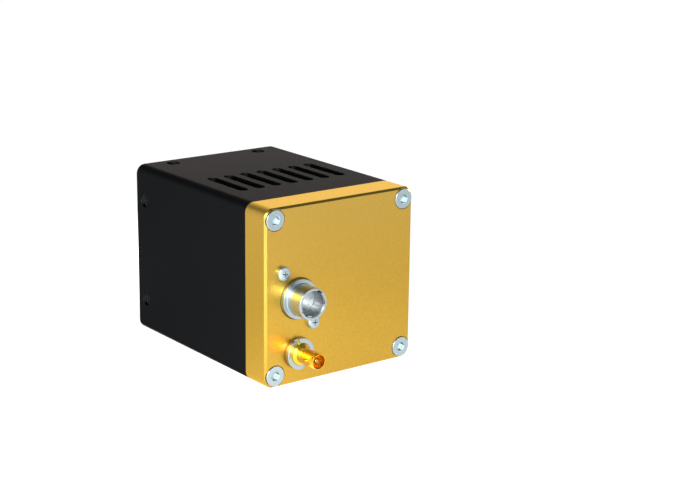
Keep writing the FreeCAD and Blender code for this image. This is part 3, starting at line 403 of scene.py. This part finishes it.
# ------------------------------------------------------------------ new pieces
def add_piece(name, bm, material, smooth=True):
    me = bpy.data.meshes.new(name)
    bm.normal_update()
    bm.to_mesh(me)
    bm.free()
    if smooth:
        for p in me.polygons:
            p.use_smooth = True
    obj = bpy.data.objects.new(name, me)
    scene.collection.objects.link(obj)
    me.materials.append(MATERIALS[material])
    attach(obj, "root")
    return obj


def thread_ridge(bm, centre, axis, start, length, pitch, root, crest, segments=64):
    """A closed helical ridge that stands inwards from the wall of a hole.
    Its root lies a little inside the wall and each end runs out to nothing."""
    axis = Vector(axis).normalized()
    u = axis.orthogonal().normalized()
    v = axis.cross(u)
    turns = (length - pitch) / pitch
    count = int(turns * segments)
    rings = []
    over = root + 0.02 * MM
    for i in range(count + 1):
        a = 2.0 * math.pi * i / segments
        ease = min(1.0, i / (segments * 0.4), (count - i) / (segments * 0.4))
        tip = root - (root - crest) * max(ease, 0.02)
        at = start + pitch * 0.5 + pitch * i / segments
        ring = []
        for r, off in ((over, -0.46), (tip, -0.07), (tip, 0.07), (over, 0.46)):
            p = centre + axis * (at + off * pitch) + (u * math.cos(a) + v * math.sin(a)) * r
            ring.append(bm.verts.new(p))
        rings.append(ring)
    for i in range(count):
        a, b = rings[i], rings[i + 1]
        for k in range(4):
            l = (k + 1) % 4
            bm.faces.new((a[k], b[k], b[l], a[l]))
    bm.faces.new(rings[0])
    bm.faces.new(list(reversed(rings[-1])))
    bmesh.ops.recalc_face_normals(bm, faces=bm.faces)


bm = bmesh.new()
thread_ridge(bm, Vector((0, 0, 0)), (0, 1, 0), 0.45 * MM, 10.8 * MM, 0.794 * MM, 12.7 * MM, 12.34 * MM, 144)
add_piece("lens_thread_ridge", bm, "black_anodised", smooth=False)

bm = bmesh.new()
HY, HH = 16.6 * MM, 16.2 * MM
for sx, sz in ((1, 0), (-1, 0), (0, 1), (0, -1)):
    for s in (1, -1):
        mouth = Vector((sx * 27 * MM + (s * HH if sx == 0 else 0), HY, sz * 27 * MM + (s * HH if sz == 0 else 0)))
        part = bmesh.new()
        thread_ridge(part, mouth, (-sx, 0, -sz), 0.25 * MM, 5.6 * MM, 0.8 * MM, 2.1 * MM, 1.90 * MM, 40)
        tmp = bpy.data.meshes.new("tmp")
        part.to_mesh(tmp)
        part.free()
        bm.from_mesh(tmp)
        bpy.data.meshes.remove(tmp)
# the tapped-hole ridges are painted near-black: painted shade inside the holes
add_piece("mount_thread_ridges", bm, "thread_black", smooth=False)

# ------------------------------------------------------------------ floor
FLOOR_Z = CAD_BOX[0][2] - 0.00002
bm = bmesh.new()
bmesh.ops.create_grid(bm, x_segments=8, y_segments=8, size=4.0)
me = bpy.data.meshes.new("floor")
bm.to_mesh(me)
bm.free()
floor = bpy.data.objects.new("floor", me)
floor.location = (0, 0.045, FLOOR_Z)
scene.collection.objects.link(floor)
fm = Mat("pale_floor", (0.30, 0.30, 0.30), roughness=0.9)
fm.b.inputs["Specular IOR Level"].default_value = 0.0
sep = fm.t.nodes.new("ShaderNodeSeparateXYZ")
fm.link(fm.coord, sep.inputs[0])


def floor_patch(x, y, inner, outer):
    """1 inside a round patch of the underlit table and 0 beyond it, in metres from the table's centre."""
    dx, dy = fm.math("SUBTRACT", sep.outputs["X"], x), fm.math("SUBTRACT", sep.outputs["Y"], y)
    r = fm.math("SQRT", fm.math("ADD", fm.math("MULTIPLY", dx, dx), fm.math("MULTIPLY", dy, dy)))
    return fm.span(r, inner, outer, 1.0, 0.0, smooth=True)


# underlit table: brighter close to the object, brightest beside its rear corner
glow = fm.math("ADD", 0.80, fm.math("MULTIPLY", floor_patch(0.01, 0.06, 0.02, 0.14), 0.26))
glow = fm.math("ADD", glow, fm.math("MULTIPLY", floor_patch(0.11, 0.15, 0.03, 0.17), 2.0))
glow = fm.math("ADD", glow, fm.math("MULTIPLY", floor_patch(0.01, -0.12, 0.02, 0.085), 1.6))
fm.to("Emission Strength", glow)
fm.b.inputs["Emission Color"].default_value = (1.0, 1.0, 1.0, 1.0)
me.materials.append(fm.m)

# ------------------------------------------------------------------ world
world = bpy.data.worlds.new("studio")
scene.world = world
world.use_nodes = True
wt = world.node_tree
wt.nodes.clear()
wo = wt.nodes.new("ShaderNodeOutputWorld")
bg = wt.nodes.new("ShaderNodeBackground")
tc = wt.nodes.new("ShaderNodeTexCoord")
sp = wt.nodes.new("ShaderNodeSeparateXYZ")
rp = wt.nodes.new("ShaderNodeValToRGB")
wt.links.new(tc.outputs["Generated"], sp.inputs[0])
wt.links.new(sp.outputs["Z"], rp.inputs["Fac"])
wt.links.new(bg.outputs[0], wo.inputs[0])
rp.color_ramp.interpolation = "B_SPLINE"
# white walls that fall off to a dark ceiling
stops = [(0.0, (1.15, 1.13, 1.10)), (0.22, (1.10, 1.08, 1.05)), (0.40, (0.60, 0.60, 0.57)),
         (0.60, (0.036, 0.085, 0.110)), (1.0, (0.030, 0.090, 0.140))]
e = rp.color_ramp.elements
while len(e) < len(stops):
    e.new(0.5)
for k, (pos, col) in enumerate(stops):
    e[k].position = pos
    e[k].color = (*col, 1.0)


def soft_patch(total, direction, inner, outer, colour):
    """Add a round patch of light on the room's wall, full within the inner angle and gone at the outer one."""
    dot = wt.nodes.new("ShaderNodeVectorMath")
    dot.operation = "DOT_PRODUCT"
    wt.links.new(tc.outputs["Generated"], dot.inputs[0])
    dot.inputs[1].default_value = Vector(direction).normalized()
    fade = wt.nodes.new("ShaderNodeMapRange")
    fade.interpolation_type = "SMOOTHSTEP"
    fade.inputs["From Min"].default_value = math.cos(math.radians(outer))
    fade.inputs["From Max"].default_value = math.cos(math.radians(inner))
    wt.links.new(dot.outputs["Value"], fade.inputs["Value"])
    scale = wt.nodes.new("ShaderNodeVectorMath")
    scale.operation = "SCALE"
    scale.inputs[0].default_value = colour
    wt.links.new(fade.outputs["Result"], scale.inputs["Scale"])
    add = wt.nodes.new("ShaderNodeVectorMath")
    add.operation = "ADD"
    wt.links.new(total, add.inputs[0])
    wt.links.new(scale.outputs["Vector"], add.inputs[1])
    return add.outputs["Vector"]


sky = rp.outputs["Color"]
sky = soft_patch(sky, (-0.588, -0.766, 0.24), 14, 50, (0.90, 0.87, 0.85))
sky = soft_patch(sky, (-0.588, 0.74, 0.36), 4, 24, (1.2, 1.2, 1.2))
wt.links.new(sky, bg.inputs["Color"])
bg.inputs["Strength"].default_value = 1.0


# ------------------------------------------------------------------ soft lights
def softbox(name, direction, distance, width, height, radiance, colour=(1, 1, 1), target=(0, 0.047, 0)):
    """Area light whose surface has the given radiance, seen from the target along direction."""
    d = Vector(direction).normalized()
    light = bpy.data.lights.new(name, "AREA")
    light.shape = "RECTANGLE"
    light.size = width
    light.size_y = height
    light.energy = radiance * math.pi * width * height
    light.color = colour
    obj = bpy.data.objects.new(name, light)
    obj.location = Vector(target) + d * distance
    obj.rotation_euler = (-d).to_track_quat("-Z", "Y").to_euler()
    obj.visible_camera = False
    scene.collection.objects.link(obj)
    return obj


softbox("key_softbox", (0.62, 0.70, 0.30), 1.6, 1.30, 1.0, 5.0, (1.0, 0.98, 0.96))
softbox("hot_softbox", (0.56, 0.75, 0.36), 1.6, 0.5, 0.5, 19.0, (1.0, 0.96, 0.92))
softbox("front_softbox", (-0.90, -0.42, 0.12), 1.6, 0.6, 0.36, 24.0)

# ------------------------------------------------------------------ camera
cam_data = bpy.data.cameras.new("camera")
cam_data.sensor_width = 36.0
cam_data.lens = 84.09135
cam_data.clip_start = 0.01
cam_data.clip_end = 50.0
cam = bpy.data.objects.new("camera", cam_data)
cam.rotation_mode = "QUATERNION"
cam.location = (0.280732, 0.453722, 0.139418)
cam.rotation_quaternion = (0.2504657, 0.1993229, 0.5745138, 0.7533068)
scene.collection.objects.link(cam)
scene.camera = cam

scene.view_settings.view_transform = "Standard"
scene.view_settings.look = "None"
scene.view_settings.exposure = 0.0
scene.view_settings.gamma = 1.0
